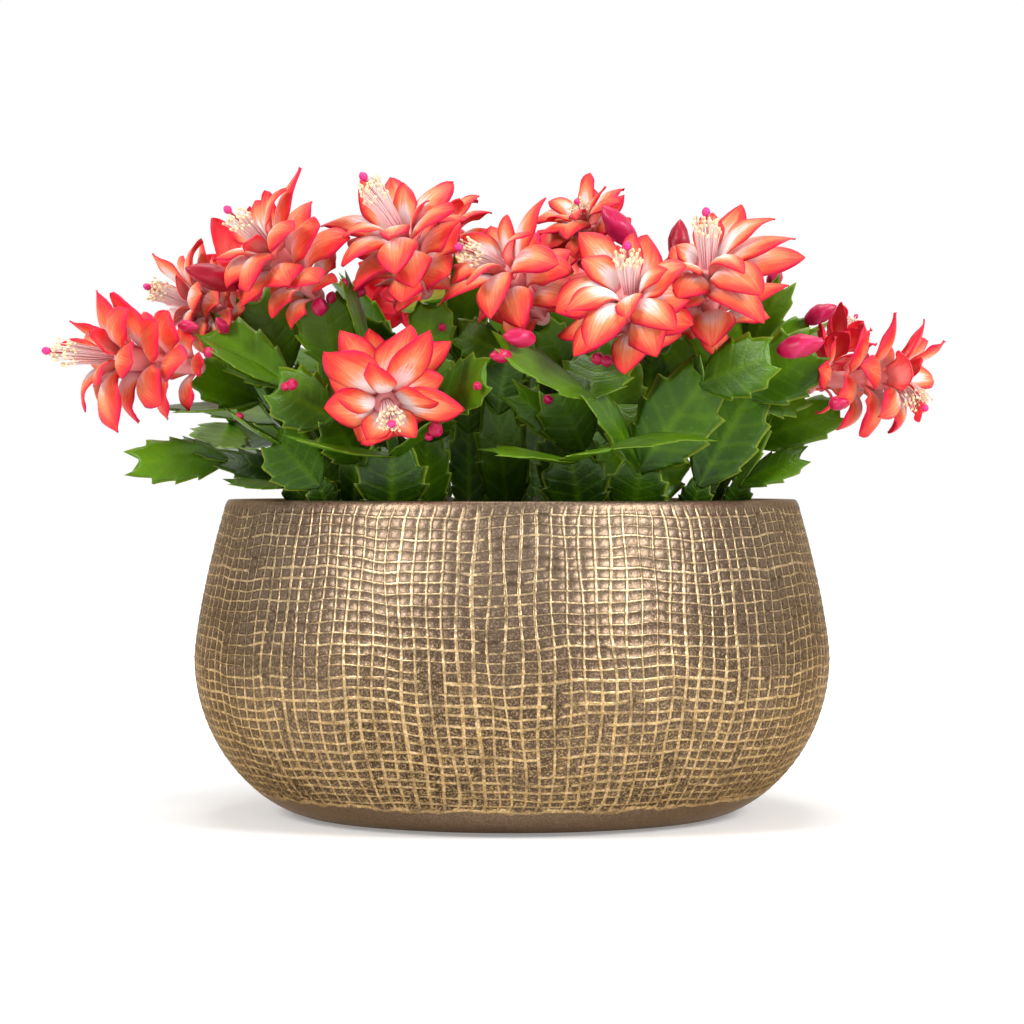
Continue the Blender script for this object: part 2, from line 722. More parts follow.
# Tiers from the base to the mouth: (place on the tube, petals, length, width, opening and curl in
# degrees off the axis for the upper petals, curl of the lower petals, and how far the edges fold back).
PETAL_TIERS = (
    (0.12, 4, 20.0, 13.5, 36.0, 88.0, 128.0, -0.35),
    (0.38, 5, 28.0, 19.0, 32.0, 86.0, 136.0, -0.55),
    (0.62, 5, 31.0, 20.0, 28.0, 78.0, 130.0, -0.55),
    (0.86, 6, 33.0, 19.0, 24.0, 66.0, 126.0, -0.5),
    (0.98, 5, 26.0, 12.5, 14.0, 38.0, 96.0, -0.35),
)
LEAN_REACH = 0.34
UPRIGHT = (0.0, 0.0, 1.0)
BACKWARD = (0.0, 1.0, 0.2)
UPRIGHT_SHARE = 0.92

# Stations of round parts: the flower's tube as (share of its length, radius), and the anthers and the
# stigma as (place past the end of their thread, radius).
TUBE_STATIONS = (
    (0.0, 2.2), (0.05, 3.6), (0.12, 4.2), (0.2, 3.6), (0.5, 4.2), (0.8, 5.2), (1.0, 5.6), (1.0, 3.4)
)
ANTHER_STATIONS = ((-0.4, 0.2), (-0.05, 0.6), (0.5, 0.66), (1.05, 0.5), (1.3, 0.15))
STIGMA_STATIONS = ((-1.6, 0.6), (-0.8, 1.5), (0.4, 1.9), (1.5, 1.6), (2.3, 0.9), (2.6, 0.3))
STATION_GAP = 1e-4
FILAMENTS = 60
GOLDEN_TURN = 2.399963
HEART_HINT = (0.05, 0.1, 1.0)

HALF_OPEN = ("flower_half_open",)
HALF_OPEN_SHARE = 0.55
PETAL_TONES = {"flower_pale_left": 0.0, "flower_half_open": 1.0, "flower_centre": 0.3, "flower_right": 0.25}

# Which way a flower's longest petals reach, where it isn't even all round.
LEANS = {
    "flower_high_left": (0.8, 0.0, -0.7),
    "flower_top": (-0.5, 0.0, -0.3),
    "flower_middle": (0.9, 0.0, -1.3),
    "flower_centre": (-0.5, 0.0, -0.5),
    "flower_right": (1.3, 0.0, -0.8),
    "flower_far_left": (0.0, 0.0, -0.4),
    "flower_far_right": (0.0, 0.0, -0.3),
    "flower_front": (-0.1, 0.0, 1.0),
}
EVEN = (0.0, 0.0, 0.0)


def add_petal(shell, root, axis, outward, size, bends, fold, chance, tone):
    """One petal: it leaves its tube near the axis and bends back, folded and ruffled, to a point."""
    length, width = size
    opening, curl = bends
    tip_curl = chance.uniform(-15.0, 55.0)

    def bend_at(along):
        degrees = opening + (curl - opening) * smooth(along * 1.2) + tip_curl * along**4
        return np.radians(degrees)[:, None]

    along = np.linspace(0.0, 1.0, PETAL_ROWS)
    bend = bend_at(0.5 * (along[1:] + along[:-1]))
    steps = (axis * np.cos(bend) + outward * np.sin(bend)) * (length / (PETAL_ROWS - 1))
    spine = np.vstack([root, root + np.cumsum(steps, axis=0)])
    inner = axis * np.sin(bend_at(along)) - outward * np.cos(bend_at(along))

    span, is_back = flat_ring(PETAL_PLACES)
    along = along[:, None]
    half = 0.5 * width * np.interp(along, PETAL_ALONG, PETAL_WIDTH)
    fold = fold + chance.uniform(-0.2, 0.2)
    ruffle_height = chance.uniform(0.4, 1.5)
    ruffle = ruffle_height * np.sin(math.tau * (chance.uniform(1.2, 2.2) * along + chance.uniform()))
    twist = chance.uniform(-0.45, 0.45) * along
    skew = chance.uniform(-0.2, 0.2) * length * along**2
    arch = np.sin(np.pi * (0.15 + 0.75 * along))
    height = fold * half * span**2 * arch + ruffle * span**3 * along
    height += half * span * np.tan(twist) - 0.5 * ridge(span, 0.16) * along
    thick = PETAL_THICKNESS * (1.3 - 0.8 * along) * np.where(np.abs(span) > 0.999, 0.2, 1.0)
    height += np.where(is_back > 0, -thick, thick)
    side = np.cross(axis, outward)
    rows = laid_out(spine[:, None, :], side, span * half + skew, inner[:, None, :], height)
    shell.add(rows, 0, tone=tone, along=along, edge=np.abs(span), under=is_back)


def add_petals(shell, base, mouth, size, openness, lean, tone, chance):
    """The tiers of petals. Upper petals stand up, and lower ones hang back along the tube."""
    axis = unit(mouth - base)
    upper, beside = frame_along(axis, np.array(UPRIGHT if abs(axis[2]) < UPRIGHT_SHARE else BACKWARD))
    levelness = math.sqrt(1.0 - axis[2] ** 2)
    for tier, (place, count, length, width, opening, upper_curl, lower_curl, fold) in enumerate(PETAL_TIERS):
        offset = chance.uniform(-0.25, 0.25) + (tier % 2) * math.pi / count
        for number in range(count):
            turn = offset + math.tau * number / count
            outward = upper * math.cos(turn) + beside * math.sin(turn)
            lower = 0.5 - 0.5 * math.cos(turn) * levelness
            curl = (upper_curl + (lower_curl - upper_curl) * lower) * openness + chance.uniform(-14.0, 14.0)
            uneven = 1.0 + 0.12 * math.cos(turn) * levelness + LEAN_REACH * outward.dot(lean)
            long = size * length * uneven * chance.uniform(0.84, 1.12) * (0.75 + 0.25 * openness)
            wide = size * width * chance.uniform(0.82, 1.08)
            share = place + chance.uniform(-0.03, 0.03)
            root = base + (mouth - base) * share + outward * (3.6 + 1.2 * share) * size
            add_petal(shell, root, axis, outward, (long, wide), (opening, curl), fold, chance, tone)


def bent_path(start, middle, end, points):
    """Points of a curve from start to end, drawn towards a middle."""
    share = np.linspace(0.0, 1.0, points)[:, None]
    return start * (1 - share) ** 2 + 2 * middle * share * (1 - share) + end * share**2


def add_knob(shell, end, direction, stations, size, places, material):
    """A rounded body on the end of a path, from its stations: (place past the end, radius)."""
    shares, radii = np.array(stations).T * size
    add_tube(shell, end + unit(direction) * shares[:, None], radii, places, material)


def add_heart(shell, base, mouth, style_tip, size, chance):
    """The sheaf of stamens with pale anthers, and the style with its magenta stigma."""
    axis = unit(mouth - base)
    reach = style_tip - mouth
    length = np.linalg.norm(reach)
    hint = np.array(HEART_HINT)
    upper, beside = frame_along(axis, hint)
    spread_up, spread_beside = frame_along(unit(reach), hint)
    for number in range(FILAMENTS):
        turn = number * GOLDEN_TURN
        ring = math.sqrt((number + 0.5) / FILAMENTS)
        start = mouth - axis * 4.0 + (upper * math.cos(turn) + beside * math.sin(turn)) * 2.6 * ring * size
        fan = (spread_up * math.cos(turn) + spread_beside * math.sin(turn)) * (6.0 * ring * size)
        end = mouth + reach * chance.uniform(0.58, 0.92) + fan
        middle = start * 0.45 + end * 0.55 + axis * (0.18 * length)
        path = bent_path(start, middle, end, 6)
        share = np.linspace(0.0, 1.0, 6)[:, None]
        add_tube(shell, path, np.linspace(0.26, 0.17, 6) * size, 5, 1, along=share)
        direction = path[-1] - path[-2] + chance.normal(0, 0.5, 3) * 0.8
        add_knob(shell, path[-1], direction, ANTHER_STATIONS, size, 6, 2)
    style = bent_path(mouth - axis * 3.0, mouth + reach * 0.5 + axis * (0.1 * length), style_tip, 9)
    add_tube(shell, style, np.full(9, 0.55) * size, 7, 3)
    add_knob(shell, style[-1], style[-1] - style[-2], STIGMA_STATIONS, size, 10, 4)


def build_flower(name, base, mouth, style_tip, size, chance, materials):
    base, mouth, style_tip = (np.array(point, float) for point in (base, mouth, style_tip))
    shell = Shell()
    shares, radii = np.array(TUBE_STATIONS).T
    shares = shares + np.arange(len(shares)) * STATION_GAP
    path = base + (mouth - base) * shares[:, None]
    add_tube(shell, path, radii * size, 14, 0, along=0.12, tone=0.3, under=0.6)
    openness = HALF_OPEN_SHARE if name in HALF_OPEN else 1.0
    tone = PETAL_TONES.get(name, chance.uniform(0.35, 0.65))
    add_petals(shell, base, mouth, size, openness, np.array(LEANS.get(name, EVEN)), tone, chance)
    add_heart(shell, base, mouth, style_tip, size, chance)
    finish_piece(shell.build("petals_" + name, materials), "coral_petals", name)


def build_flowers(ends, materials):
    chance = np.random.default_rng(21)
    for name, (base, mouth, style_tip, size) in FLOWERS.items():
        build_flower(name, base, mouth, style_tip, size, chance, materials)
    for name, stem in RING_FLOWERS.items():
        base, mouth = beyond(ends[stem], RING_FLOWER_TUBE)
        style_tip = beyond(ends[stem], RING_FLOWER_TUBE + RING_FLOWER_STYLE)[1]
        build_flower(name, base, mouth, style_tip, 1.0, chance, materials)


# ---------------------------------------------------------------- buds

BUD_ALONG = (0.0, 0.08, 0.3, 0.55, 0.8, 0.94, 1.0)
BUD_WIDTH = (0.3, 0.62, 0.95, 1.0, 0.66, 0.3, 0.05)
BUD_PETALS = 3.0
BUD_SPIRAL = 1.35
BUD_HINT = (0.21, 0.33, 0.9)
DARK_BUDS = ("bud_left", "bud_top_right")


def add_bud(shell, base, tip, thickness, tone):
    """A closed bud of petals wrapped over each other, so that their edges spiral up to the tip."""
    base, tip = np.array(base, float), np.array(tip, float)
    axis = unit(tip - base)
    upper, beside = frame_along(axis, np.array(BUD_HINT))
    along = np.linspace(0.0, 1.0, 20)[:, None]
    turns = circle(36)[None, :]
    wrap = BUD_PETALS * turns / math.tau + BUD_SPIRAL * along
    lap = wrap - np.floor(wrap)
    radius = 0.5 * thickness * np.interp(along, BUD_ALONG, BUD_WIDTH) * (0.90 + 0.12 * lap**1.5)
    spine = base + axis * (along * np.linalg.norm(tip - base))[..., None]
    rows = laid_out(spine, upper, np.cos(turns) * radius, beside, np.sin(turns) * radius)
    shell.add(rows, 0, tone=tone, along=along, edge=lap)


def build_buds(ends, magenta):
    chance = np.random.default_rng(5)
    buds = dict(BUDS)
    for name, (stem, thickness) in RING_BUDS.items():
        buds[name] = (*beyond(ends[stem], RING_BUD_LENGTH), thickness)
    for name, (base, tip, thickness) in buds.items():
        shell = Shell()
        add_bud(shell, base, tip, thickness, 0.0 if name in DARK_BUDS else 0.75)
        finish_piece(shell.build("wrapped_" + name, (magenta,)), "magenta_bud", name)
    for number, (middle, length, thickness, direction) in enumerate(SMALL_BUDS):
        shell = Shell()
        half = unit(np.array(direction, float)) * length / 2
        add_bud(shell, np.array(middle) - half, np.array(middle) + half, thickness, chance.uniform(0.6, 1.0))
        finish_piece(shell.build(f"small_bud_{number + 1}", (magenta,)), "magenta_bud")


# ---------------------------------------------------------------- pot and soil

# The woven relief: gold threads lie in ditches around small tiles. A tile is counted from the middle of
# one thread to the next. Across and up it, points lie at these shares of it, as (share, share of the depth).
WEAVE_COLUMNS = 135
WEAVE_ROWS = 30
WEAVE_FOOT = 11.5
WEAVE_TOP = 146.2
THREAD_DEPTH = 0.25
ACROSS_TILE = ((0.0, THREAD_DEPTH), (0.10, 1.0), (0.21, 0.0), (0.79, 0.0), (0.90, 1.0))
UP_TILE = ((0.0, THREAD_DEPTH), (0.14, 1.0), (0.5, 0.0), (0.86, 1.0))
RELIEF_DEPTH = 0.55
THREAD_SWELL = 0.24

# How the weave sways, in tiles: whole waves round the pot, slant up it, phase and height.
SIDEWAYS_WAVES = ((3, 4.0, 0.0, 0.30), (11, 6.0, 1.3, 0.09), (31, 13.0, 4.0, 0.04))
UPWARD_WAVES = ((7, 3.0, 2.1, 0.24), (19, 5.0, 0.4, 0.10), (43, 11.0, 5.2, 0.05))
THREAD_SWAY = 0.08
COLUMN_SWAYS = 17.0
LEVEL_SWAYS = 13.0
STILL_ENDS = 1.5

# The soil's lumps as (size, height), and its crumbs of perlite as (place along them, radius) shares.
SOIL_GAP = 0.6
SOIL_SWELL = 1.4
SOIL_DEPTH = 8.0
SOIL_GRIT = 0.7
SOIL_LUMPS = ((17.0, 0.8), (7.3, 0.6), (3.4, 0.5))
CRUMBS = 70
CRUMB_RISE = 1.2
CRUMB_SIZES = (0.8, 1.9)
CRUMB_STATIONS = ((-1.0, 0.3), (-0.6, 0.9), (0.1, 1.0), (0.8, 0.7), (1.0, 0.2))


def tile_points(tile, count):
    """Places and depths of a row of tiles, counted in tiles."""
    places, depths = np.array(tile).T
    return (np.arange(count)[:, None] + places).reshape(-1), np.tile(depths, count)


def sway(turns, rise, waves):
    return sum(height * np.sin(count * turns + slant * rise + phase) for count, slant, phase, height in waves)


def threads(places, count, pitch, chance):
    """The sway's phase of the thread nearest to each place, and the distance to it less its own swell."""
    nearest = np.round(places).astype(int) % count
    phases = chance.uniform(0.0, math.tau, count)
    swells = chance.uniform(-THREAD_SWELL, THREAD_SWELL, count)
    return phases[nearest], np.abs(places - np.round(places)) * pitch - swells[nearest]


def woven_wall(columns, column_depth):
    """Points of the woven part of the wall, with its relief cut in, and the values that its glaze reads."""
    chance = np.random.default_rng(11)
    fine_heights = np.linspace(WEAVE_FOOT, WEAVE_TOP, 400)
    fine_radii = np.array([pot_radius(height) for height in fine_heights])
    arc = np.concatenate([[0.0], np.cumsum(np.hypot(np.diff(fine_heights), np.diff(fine_radii)))])
    levels, level_depth = (values[:, None] for values in tile_points(UP_TILE, WEAVE_ROWS))
    turns = columns * (math.tau / WEAVE_COLUMNS)
    rise = levels / WEAVE_ROWS
    column_pitch = math.tau * POT_BELLY_RADIUS / WEAVE_COLUMNS
    level_pitch = arc[-1] / WEAVE_ROWS
    column_phase, from_upright = threads(columns, WEAVE_COLUMNS, column_pitch, chance)
    level_phase, from_level = threads(levels, WEAVE_ROWS + 1, level_pitch, chance)

    from_ends = np.minimum(levels, WEAVE_ROWS - levels)
    sideways = sway(turns, rise, SIDEWAYS_WAVES) + THREAD_SWAY * np.sin(COLUMN_SWAYS * rise + column_phase)
    upwards = sway(turns, rise, UPWARD_WAVES) + THREAD_SWAY * np.sin(LEVEL_SWAYS * turns + level_phase)
    freedom = smooth(from_ends / STILL_ENDS)
    angle = turns + sideways * freedom * (math.tau / WEAVE_COLUMNS)
    place = (levels + upwards * freedom) * level_pitch

    is_thread = (column_depth == THREAD_DEPTH) | (level_depth == THREAD_DEPTH)
    depth = np.where(is_thread, THREAD_DEPTH, np.maximum(column_depth, level_depth))
    depth = depth * RELIEF_DEPTH * smooth(from_ends / 0.6)
    radius = np.interp(place, arc, fine_radii) - depth * np.interp(place, arc, np.gradient(fine_heights, arc))
    height = np.interp(place, arc, fine_heights) + depth * np.interp(place, arc, np.gradient(fine_radii, arc))
    rows = np.stack([radius * np.cos(angle), radius * np.sin(angle), height], axis=-1)
    values = {"tone": smooth(from_ends / 0.4), "along": from_upright, "edge": from_level}
    return rows, {name: np.broadcast_to(value, height.shape) for name, value in values.items()}


def turned(outline, turns):
    """Rings of points from an outline of (radius, height)."""
    radius, height = np.array(outline).T[:, :, None]
    return np.stack([radius * np.cos(turns), radius * np.sin(turns), height + 0.0 * turns], axis=-1)


def wall_outline(heights, inset=0.0):
    return [(pot_radius(height) - inset, height) for height in heights]


def build_pot(glaze):
    """The wall's whole section: flat base, smooth foot, woven belly, narrow rounded rim, and down inside."""
    lip = POT_RIM_ROUNDING
    shoulder = POT_HEIGHT - lip
    inner = POT_RIM_RADIUS - POT_WALL + lip
    rounding = [(lip * math.cos(turn), lip * math.sin(turn)) for turn in np.linspace(0.0, math.pi / 2, 5)[1:]]
    below = [(0.01, 0.0), (POT_BASE_RADIUS - 3.0, 0.0), (POT_BASE_RADIUS - 0.6, 0.25)]
    below += wall_outline(np.linspace(0.8, WEAVE_FOOT - 0.5, 6))
    above = [(POT_RIM_RADIUS - lip + out, shoulder + up) for out, up in rounding]
    above += [(inner - out, shoulder + up) for up, out in rounding]
    above += wall_outline(np.linspace(shoulder, POT_FLOOR, 11)[1:], POT_WALL) + [(0.01, POT_FLOOR)]
    columns, column_depth = (values[None, :] for values in tile_points(ACROSS_TILE, WEAVE_COLUMNS))
    turns = columns * (math.tau / WEAVE_COLUMNS)
    woven, values = woven_wall(columns, column_depth)
    ends = ((len(below), len(above)), (0, 0))
    shell = Shell()
    rows = np.concatenate([turned(below, turns), woven, turned(above, turns)])
    shell.add(rows, 0, **{name: np.pad(value, ends) for name, value in values.items()})
    finish_piece(shell.build("woven_relief_pot", (glaze,)), "bronze_glaze", "pot")


def build_soil(earth, white):
    """Soil with a rough, crumbly surface, and a few white crumbs of perlite pressed into it."""
    chance = np.random.default_rng(3)
    radius = pot_radius(SOIL_TOP) - POT_WALL - SOIL_GAP
    shares = np.linspace(1.0, 0.004, 70)[:, None]
    turns = circle(240)[None, :]
    x = radius * shares * np.cos(turns)
    y = radius * shares * np.sin(turns)
    lumps = sum(
        height * np.sin(x / size + 3.1 * number) * np.cos(y / size * 1.13 + 1.7 * number)
        for number, (size, height) in enumerate(SOIL_LUMPS)
    )
    grit = chance.uniform(-SOIL_GRIT, SOIL_GRIT, x.shape)
    roughness = (lumps + grit) * smooth((1.0 - shares) / 0.05 + 0.2)
    z = SOIL_TOP - SOIL_GAP + SOIL_SWELL * (1.0 - shares**2) + roughness
    top = np.stack([x, y, z], axis=-1)
    bottom = np.stack([x[0], y[0], np.full(x.shape[1], SOIL_TOP - SOIL_DEPTH)], axis=-1)[None]
    shell = Shell()
    shell.add(np.concatenate([bottom, top]), 0)
    finish_piece(shell.build("crumbly_soil", (earth,)), "dark_soil", "potting_soil")
    crumbs = Shell()
    places, radii = np.array(CRUMB_STATIONS).T
    for _ in range(CRUMBS):
        reach = radius * math.sqrt(chance.uniform(0.05, 0.97))
        turn = chance.uniform(0, math.tau)
        middle = np.array([reach * math.cos(turn), reach * math.sin(turn), SOIL_TOP + CRUMB_RISE])
        axis = unit(chance.normal(0, 1, 3))
        size = chance.uniform(*CRUMB_SIZES)
        path = middle + axis * places[:, None] * size
        add_tube(crumbs, path, size * radii * chance.uniform(0.7, 1.1, len(radii)), 6, 0)
    finish_piece(crumbs.build("perlite_crumbs", (white,)), "dark_soil")


# ---------------------------------------------------------------- materials

# Colours are linear (red, green, blue).
WHITE = (1.0, 1.0, 1.0)
LEAF_SHADED = (0.008, 0.028, 0.001)
LEAF_OLD = (0.036, 0.102, 0.0015)
LEAF_YOUNG = (0.090, 0.212, 0.0015)
LEAF_RIB = (0.130, 0.280, 0.004)
LEAF_VEIN = (0.150, 0.300, 0.010)
LEAF_SPECKLE = (0.20, 0.36, 0.03)
LEAF_MARGIN = (0.33, 0.44, 0.035)
PETAL_ROOT = (0.93, 0.36, 0.42)
PETAL_THROAT = (0.99, 0.84, 0.82)
PETAL_ORANGE = (0.97, 0.30, 0.13)
PETAL_RED = (0.89, 0.060, 0.045)
PETAL_TIP = (0.76, 0.008, 0.060)
PETAL_BACK_PALE = (0.90, 0.24, 0.20)
PETAL_BACK_DEEP = (0.78, 0.026, 0.050)
PETAL_MARGIN = (0.78, 0.015, 0.10)
FILAMENT_ROOT = (0.90, 0.42, 0.46)
FILAMENT_TIP = (0.95, 0.78, 0.76)
BUD_FOLDS = ((0.36, 0.002, 0.022), (0.58, 0.006, 0.085))
BUD_EDGES = ((0.50, 0.008, 0.040), (0.76, 0.045, 0.20))
TILE_BROWNS = ((0.062, 0.038, 0.023), (0.115, 0.077, 0.050))
TILE_GRIT = (0.42, 0.30, 0.20)
TILE_SHEEN = (0.28, 0.21, 0.15)
TILE_DITCH = (0.030, 0.018, 0.010)
GOLD_DUST = (0.55, 0.37, 0.15)
GOLD_LOW = (0.52, 0.33, 0.12)
GOLD_HIGH = (0.42, 0.30, 0.18)
GOLD_BRIGHT = (0.82, 0.61, 0.34)
FOOT_BROWNS = ((0.12, 0.080, 0.052), (0.27, 0.19, 0.13))
GLAZE_TINT = (0.55, 0.42, 0.30)
GLAZE_METALLIC = 0.8

# Plain materials: the noise that mixes their two colours as (scale, detail, roughness), the colours, the
# surface's roughness, and the relief as (noise, depth in metres, strength) or None.
PLAIN_MATERIALS = {
    "woody_stem_foot": (
        (120.0, 4.0, 0.5), (0.035, 0.045, 0.012), (0.10, 0.085, 0.035), 0.8, ((300.0, 4.0, 0.5), 0.0005, 0.6)
    ),
    "cream_anther": ((900.0, 3.0, 0.5), (0.88, 0.68, 0.36), (0.95, 0.86, 0.62), 0.75, None),
    "crimson_style": ((200.0, 3.0, 0.5), (0.38, 0.02, 0.06), (0.58, 0.05, 0.10), 0.4, None),
    "magenta_stigma": (
        (700.0, 3.0, 0.5), (0.58, 0.004, 0.16), (0.80, 0.03, 0.26), 0.38, ((900.0, 3.0, 0.5), 0.0005, 0.5)
    ),
    "dark_potting_soil": (
        (260.0, 6.0, 0.7), (0.006, 0.004, 0.003), (0.045, 0.03, 0.019), 0.95, ((500.0, 6.0, 0.75), 0.002, 1.0)
    ),
    "white_perlite": ((800.0, 3.0, 0.5), (0.62, 0.60, 0.57), (0.88, 0.87, 0.85), 0.9, None),
}


class Nodes:
    """Makes the shader nodes of a material or a world. A value may be a number, a colour or a socket."""

    def __init__(self, owner):
        owner.use_nodes = True
        self.owner = owner
        self.tree = owner.node_tree

    def put(self, socket, value):
        if isinstance(value, bpy.types.NodeSocket):
            self.tree.links.new(value, socket)
        elif socket.type == "RGBA":
            socket.default_value = (*value, 1.0)
        else:
            socket.default_value = value

    def fill(self, node, **values):
        """Sets or links inputs by name, with _ for each space."""
        for name, value in values.items():
            self.put(node.inputs[name.replace("_", " ")], value)

    def add(self, kind, **values):
        node = self.tree.nodes.new("ShaderNode" + kind)
        self.fill(node, **values)
        return node

    def math(self, operation, *values):
        node = self.add("Math")
        node.operation = operation
        for socket, value in zip(node.inputs, values):
            self.put(socket, value)
        return node.outputs[0]

    def plus(self, first, *others):
        for other in others:
            first = self.math("ADD", first, other)
        return first

    def minus(self, first, second):
        return self.math("SUBTRACT", first, second)

    def times(self, first, second):
        return self.math("MULTIPLY", first, second)

    def most(self, first, second):
        return self.math("MAXIMUM", first, second)

    def attribute(self, name):
        node = self.add("Attribute")
        node.attribute_name = name
        return node.outputs["Fac"]

    def place(self):
        return self.add("TexCoord").outputs["Object"]

    def noise(self, scale, detail=3.0, roughness=0.5, vector=None):
        vector = self.place() if vector is None else vector
        node = self.add("TexNoise", Vector=vector, Scale=scale, Detail=detail, Roughness=roughness)
        return node.outputs["Fac"]

    def wander(self, noise, amount):
        """A noise moved to vary on both sides of 0."""
        return self.times(self.minus(noise, 0.5), amount)

    def streaks(self, span, along):
        """Noise drawn out along a petal, from its own two directions, and different from petal to petal."""
        petal = self.times(self.noise(25.0, 0.0), 6.0)
        node = self.add("CombineXYZ", X=self.times(span, 7.0), Y=self.times(along, 1.5), Z=petal)
        return self.noise(1.0, 3.0, 0.6, node.outputs["Vector"])

    def band(self, value, start, end, low=0.0, high=1.0):
        """Low before start, high after end, and smooth between them."""
        node = self.add("MapRange", Value=value, From_Min=start, From_Max=end, To_Min=low, To_Max=high)
        node.interpolation_type = "SMOOTHSTEP"
        return node.outputs["Result"]

    def mix(self, share, first, second):
        node = self.add("Mix")
        node.data_type = "RGBA"
        self.fill(node, Factor=share, A=first, B=second)
        return node.outputs["Result"]

    def bump(self, height, depth, strength):
        node = self.add("Bump", Height=height, Distance=depth, Strength=strength)
        self.shade(Normal=node.outputs["Normal"])

    def shade(self, **values):
        """Sets the material's own surface, and gives the material."""
        self.fill(self.tree.nodes["Principled BSDF"], **values)
        return self.owner


def new_material(name):
    return Nodes(bpy.data.materials.new(name))


def plain_material(name):
    grain, dark, light, roughness, relief = PLAIN_MATERIALS[name]
    n = new_material(name)
    if relief:
        noise, depth, strength = relief
        n.bump(n.noise(*noise), depth, strength)
    return n.shade(Base_Color=n.mix(n.noise(*grain), dark, light), Roughness=roughness)


def leaf_material():
    """Waxy green: darker when old, yellow-green when young, with a paler margin, mid-rib and side veins."""
    n = new_material("waxy_green_leaf")
    along = n.attribute("along")
    edge = n.attribute("edge")
    mottle = n.noise(48.0, 5.0, 0.6)
    age = n.plus(n.attribute("tone"), n.wander(mottle, 1.0), n.times(n.minus(along, 0.6), 0.35))
    green = n.mix(n.band(age, 0.0, 0.5), LEAF_SHADED, LEAF_OLD)
    green = n.mix(n.band(age, 0.45, 1.0), green, LEAF_YOUNG)
    green = n.mix(n.times(n.attribute("rib"), 0.35), green, LEAF_RIB)
    wave = n.math("SINE", n.times(n.minus(n.times(along, 5.0), edge), math.tau))
    vein = n.band(n.plus(n.times(wave, 0.5), n.times(mottle, 0.6)), 0.45, 0.8)
    green = n.mix(n.times(vein, 0.12), green, LEAF_VEIN)
    speckle = n.band(n.noise(420.0, 2.0), 0.60, 0.75)
    green = n.mix(n.times(speckle, 0.12), green, LEAF_SPECKLE)
    green = n.mix(n.times(n.band(edge, 0.90, 1.0), 0.7), green, LEAF_MARGIN)
    grain = n.times(n.plus(n.noise(150.0, 3.0, 0.6), n.noise(900.0, 2.0)), 0.7)
    n.bump(n.minus(grain, n.times(vein, 0.3)), 0.0005, 0.5)
    return n.shade(Base_Color=green, Roughness=0.34, Specular_IOR_Level=0.24)


def petal_material():
    """Coral petals: pale pink at the throat, orange in the middle, deeper at the tip, crimson margins."""
    n = new_material("coral_petal")
    along = n.attribute("along")
    edge = n.attribute("edge")
    streak = n.streaks(edge, along)
    depth = n.plus(n.times(along, 0.9), n.times(n.math("POWER", edge, 2.4), 0.5))
    depth = n.plus(depth, n.wander(n.noise(90.0, 4.0, 0.6), 0.18), n.wander(streak, 0.42))
    depth = n.plus(depth, n.wander(n.attribute("tone"), 0.34))
    inner = n.mix(n.band(along, 0.05, 0.20), PETAL_ROOT, PETAL_THROAT)
    inner = n.mix(n.band(depth, 0.31, 0.58), inner, PETAL_ORANGE)
    inner = n.mix(n.band(depth, 0.51, 0.81), inner, PETAL_RED)
    inner = n.mix(n.band(depth, 0.79, 1.09), inner, PETAL_TIP)
    outer = n.mix(n.band(depth, 0.0, 0.75), PETAL_BACK_PALE, PETAL_BACK_DEEP)
    face = n.mix(n.times(n.attribute("under"), 0.9), inner, outer)
    near_throat = n.band(along, 0.30, 0.75, 1.0, 0.5)
    margin = n.times(n.band(edge, 0.84, 0.99), n.times(near_throat, 0.65))
    face = n.mix(margin, face, PETAL_MARGIN)
    n.bump(n.plus(streak, n.noise(240.0, 3.0, 0.6)), 0.0005, 0.45)
    n.shade(Subsurface_Weight=0.45, Subsurface_Radius=(0.006, 0.0022, 0.0016))
    return n.shade(Base_Color=face, Roughness=0.5, Specular_IOR_Level=0.2)


def filament_material():
    n = new_material("pale_filament")
    pink = n.mix(n.band(n.attribute("along"), 0.0, 0.8), FILAMENT_ROOT, FILAMENT_TIP)
    return n.shade(Base_Color=pink, Roughness=0.5)


def bud_material():
    """Magenta buds: crimson in the folds between the wrapped petals and lighter on their edges."""
    n = new_material("magenta_bud_skin")
    tone = n.attribute("tone")
    fold = n.times(n.band(n.attribute("edge"), 0.55, 1.0), 0.8)
    skin = n.mix(fold, n.mix(tone, *BUD_FOLDS), n.mix(tone, *BUD_EDGES))
    n.bump(n.noise(300.0, 3.0), 0.0004, 0.3)
    n.shade(Subsurface_Weight=0.12, Subsurface_Radius=(0.003, 0.0008, 0.001))
    return n.shade(Base_Color=skin, Roughness=0.38, Specular_IOR_Level=0.35)


def thread(n, distance, narrow, wide):
    """1 on a thread's middle and 0 beyond its edge, from the distance to its middle in mm."""
    return n.band(distance, narrow, wide, 1.0, 0.0)


